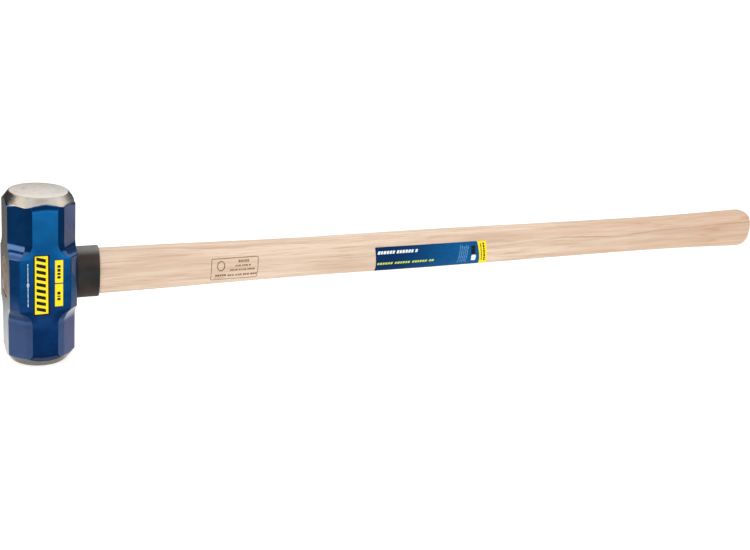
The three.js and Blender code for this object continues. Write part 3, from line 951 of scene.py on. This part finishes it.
def build_handle_label(blue, yellow, white, lime, black, faint):
    """The wrapped blue label with its yellow end and plain marks."""
    start, split, end, low, high = 327.7, 451.8, 463.0, -17.2, 9.8
    stick("handle_label_blue", [panel(start, split, low, high, 1.2, (4.3, 8.4), 60)],
          grip_surface, BASE_LIFTS, blue, "label_blue", "handle_label")
    stick("handle_label_end", [panel(split + 0.1, end, low, high, 0.3, (8.4, 6.6), 6)],
          grip_surface, BASE_LIFTS, yellow, "label_yellow")
    title = word_marks(330.8, 378.5, 2.4, 5.6, (2.7, 2.3, 2.9, 2.5, 2.6, 2.4, -1.6), 0.85, 0.8)
    stick("handle_label_title", title, grip_surface, OVER_LIFTS, white, "label_blue")
    measure = word_marks(331.9, 398, -9.2, -6.9, (2.2, 2.6, 1.9, 2.4, 2.2, 2.5, -2.0), 0.8, 0.6)
    stick("handle_label_measure", measure, grip_surface, OVER_LIFTS, lime, "label_blue")
    small = []
    for index, left in enumerate((430.5, 432.9, 435.3, 437.7, 440.1)):
        small += column_marks(left, left + 1.3, -13.5 + index % 2, 6.8 - index % 3,
                              (2.4, 1.3, 3.1, 1.8), 0.5)
    stick("handle_label_notes", small, grip_surface, OVER_LIFTS, faint, "label_blue")
    dark_box = [panel(444.6, 449.8, -4.2, 5.2, 0.4, (1.4, 1.4))]
    stick("handle_label_dark_box", dark_box, grip_surface, OVER_LIFTS, black, "label_blue")
    pale_box = [panel(446.6, 452.4, -12.0, -5.2, 1.4, (1.0, 1.0))]
    stick("handle_label_pale_box", pale_box, grip_surface, OVER_LIFTS, white, "label_blue")
    edge = []
    for left, width, low_end, high_end in ((456.0, 1.1, -12.0, 7.6), (459.2, 1.9, -13.0, 8.2)):
        bars = column_marks(left, left + width, low_end, high_end, (2.2, 1.4, 2.8, 1.7), 0.6)
        edge += [[[(x + (high - z) * 0.26 - 1, z) for x, z in row] for row in bar]
                 for bar in bars]
    stick("handle_label_end_marks", edge, grip_surface, OVER_LIFTS, black, "label_yellow")


def build_stamp(ink):
    """A plain box with a ring and rows of marks, inked on the bare wood."""
    left, right, low, high, corner = 153.8, 200.6, -12.3, 8.9, 1.6
    centres = ((right - corner, low + corner, -0.5), (right - corner, high - corner, 0),
               (left + corner, high - corner, 0.5), (left + corner, low + corner, 1))
    frame_path = []
    for x, z, turn in centres:
        frame_path += [(x + corner * math.cos(a), z + corner * math.sin(a))
                       for a in spread(turn * math.pi, (turn + 0.5) * math.pi, 4)]
    smooth_path = []
    for index, here in enumerate(frame_path):
        after = frame_path[(index + 1) % len(frame_path)]
        gap = math.dist(here, after)
        steps = max(1, round(gap / 2))
        smooth_path += [(lerp(here[0], after[0], i / steps), lerp(here[1], after[1], i / steps))
                        for i in range(steps)]
    ring = [(163.2 + 3.6 * math.cos(t), 1.7 + 4.6 * math.sin(t))
            for t in spread(0, 2 * math.pi, 32)[:-1]]
    patches = [stroke(smooth_path, 0.75), stroke(ring, 1.15)]
    patches += word_marks(158, 167.5, -9.0, -6.7, (1.7, 2.0, 1.6), 0.45)
    patches += word_marks(157, 167.5, -11.2, -10.5, (1.2, 0.8, 1.5), 0.4)
    patches += word_marks(180.5, 190.5, 4.2, 6.8, (1.7, 2.0, 1.6), 0.45)
    patches += word_marks(177.5, 192.5, 0.3, 2.0, (1.7, 1.2, 2.1, -0.7), 0.4)
    patches += word_marks(172.5, 197, -3.8, -2.1, (1.4, 2.0, 1.1, 1.8, -0.8), 0.4)
    patches += word_marks(170.5, 198, -9.4, -7.3, (1.9, 1.5, 2.2, -0.9), 0.4)
    stick("wood_stamp", patches, grip_surface, INK_LIFTS, ink, "handle_ash")


def build_labels():
    yellow = print_material("label_yellow", (0.93, 0.76, 0.02), (0.88, 0.66, 0.02))
    black = print_material("label_black", (0.012, 0.012, 0.014), (0.03, 0.03, 0.03))
    white = print_material("label_white", (0.85, 0.88, 0.9), (0.6, 0.68, 0.75))
    blue = print_material("label_blue", (0.0004, 0.026, 0.098), (0.0006, 0.03, 0.11),
                          (0.003, 0.094, 0.27), 345 * MM, 440 * MM)
    lime = print_material("label_lime", (0.6, 0.7, 0.08), (0.42, 0.55, 0.10))
    faint = print_material("label_faint", (0.10, 0.27, 0.50), (0.05, 0.18, 0.40))
    ink = print_material("stamp_ink", (0.20, 0.115, 0.06), (0.50, 0.36, 0.25))
    build_head_labels(yellow, black, white)
    build_handle_label(blue, yellow, white, lime, black, faint)
    build_stamp(ink)


# ---- Studio --------------------------------------------------------------------------------

FLOOR_HALF = 20.0
FLOOR_DROP = 0.2 * MM
FLOOR_GLOW = 0.72


def build_floor():
    """A plain pale floor that glows a little; it is left out of reflections."""
    corners = [(x * FLOOR_HALF, y * FLOOR_HALF, -FLOOR_DROP)
               for x, y in ((-1, -1), (1, -1), (1, 1), (-1, 1))]
    n = Nodes("studio_floor")
    speck = n.ramp(n.noise(n.place, 40, 2), 0.3, 0.7, 0.44, 0.46)
    tone = n.join(speck, speck, speck)
    pale = n.finish(n.shader(tone, 0.9, 0.0, Emission_Color=(1, 1, 1),
                             Emission_Strength=FLOOR_GLOW))
    floor = make_object("studio_floor", corners, [(0, 1, 2, 3)], pale)
    floor.visible_glossy = False


def build_world():
    """Soft white light; reflections see a studio of soft panels, bright and dark.

    A panel covers the ones before it. Those without a window reach all round, above or below an
    elevation. All directions are in degrees.
    """
    world = bpy.data.worlds.new("studio")
    bpy.context.scene.world = world
    n = Nodes(world, "ShaderNodeOutputWorld", "Generated")
    x, y, z = n.split(n.place)
    lift = n.math("MULTIPLY", n.math("ARCSINE", z), 180 / math.pi)
    turn = n.math("MULTIPLY", n.math("ARCTAN2", y, x), 180 / math.pi)

    def near(away, half, soft):
        return n.ramp(away, half - soft, half + soft, 1.0, 0.0)

    def window(azimuth, half_width, elevation, half_height, soft, side_soft=5):
        """A soft-edged panel seen in a direction given in degrees."""
        aside = n.math("ABSOLUTE", n.math("SUBTRACT", turn, azimuth))
        aside = n.math("MINIMUM", aside, n.math("SUBTRACT", 360, aside))
        above = n.math("ABSOLUTE", n.math("SUBTRACT", lift, elevation))
        return n.math("MULTIPLY", near(aside, half_width, side_soft),
                      near(above, half_height, soft))

    front = n.math("MULTIPLY", window(-79, 28, -24, 17, 1.5), n.ramp(lift, -23.2, -14.5))
    panels = (
        (n.ramp(lift, 9, 15), (1.16, 1.10, 1.02)),
        (window(68, 24, 33, 11, 4), (1.9, 1.85, 1.8)),
        (window(-86, 27, 60, 17, 5), (0.74, 0.70, 0.63)),
        (window(-8, 20, 36, 9, 4), (1.5, 1.4, 1.36)),
        (window(28, 34, 14, 11, 3), (0.14, 0.15, 0.15)),
        (window(130, 40, 20, 19, 4, 7), (0.015, 0.01, 0.008)),
        (window(-171, 26, 18, 11, 2), (0.05, 0.06, 0.08)),
        (window(-171, 24, 35, 5, 1.5), (2.4, 2.1, 1.9)),
        (window(-171, 24, 4, 12.5, 1.5), (2.9, 2.45, 2.0)),
        (n.ramp(lift, -22.5, -21.5, 1.0, 0.0), (1.06, 0.92, 0.84)),
        (window(31, 20, -37, 7, 3), (1.25, 1.2, 1.05)),
        (n.ramp(lift, -46, -36, 1.0, 0.0), (0.38, 0.37, 0.34)),
        (window(-80, 40, -42, 7, 3), (0.95, 0.55, 0.3)),
        (window(-79, 42, -29.3, 8, 2, 4), (0.07, 0.01, 0.02)),
        (front, (0.18, 1.65, 1.9)),
        (window(14, 20, -20, 8, 1), (0.86, 0.65, 0.62)),
        (window(14, 24, -19.5, 1.9, 0.9), (0.20, 0.32, 0.38)),
        (window(99, 13, -14, 8.2, 0.8), (0.17, 0.16, 0.15)),
        (window(99, 15, -27, 5, 0.8), (1.3, 1.4, 1.5)),
    )
    glossy = (0.04, 0.042, 0.045)
    for mask, color in panels:
        glossy = n.mix(mask, glossy, color)

    soft_box = n.mix(n.ramp(lift, -40, 45), (0.82, 0.82, 0.83), (1.20, 1.19, 1.18))
    path = n.tree.nodes.new("ShaderNodeLightPath")
    color = n.mix(path.outputs["Is Glossy Ray"], soft_box, glossy)
    color = n.mix(path.outputs["Is Camera Ray"], color, (1.0, 1.0, 1.0))
    background = n.tree.nodes.new("ShaderNodeBackground")
    n.put(background.inputs["Color"], color)
    n.finish(background.outputs[0])


CAMERA_YAW = 30.0392
CAMERA_PITCH = 19.2533
CAMERA_ROLL = 6.225
CAMERA_LENS = 49.520
HEAD_FROM_CAMERA = Vector((295.7225, -0.5595, 907.539)) * MM


def build_camera():
    """The photograph's camera: the head's centre sits at a fixed place in its frame."""
    data = bpy.data.cameras.new("camera")
    data.lens, data.sensor_width = CAMERA_LENS, 36
    data.clip_start, data.clip_end = 0.05, 100
    camera = bpy.data.objects.new("camera", data)
    bpy.context.scene.collection.objects.link(camera)
    turn = (Matrix.Rotation(math.radians(-CAMERA_YAW), 4, "Z")
            @ Matrix.Rotation(math.radians(90 - CAMERA_PITCH), 4, "X")
            @ Matrix.Rotation(math.radians(CAMERA_ROLL), 4, "Z"))
    eye_centre = Vector((0, 0, EYE_HEIGHT))
    camera.matrix_world = Matrix.Translation(eye_centre + turn.to_3x3() @ HEAD_FROM_CAMERA) @ turn
    bpy.context.scene.camera = camera


# ---- Assembly ------------------------------------------------------------------------------

build_head()
build_handle(wood_material())
build_wedges()
build_sleeve()
build_labels()
build_floor()
build_world()
build_camera()

scene = bpy.context.scene
scene.view_settings.view_transform = "Standard"
scene.view_settings.look = "None"
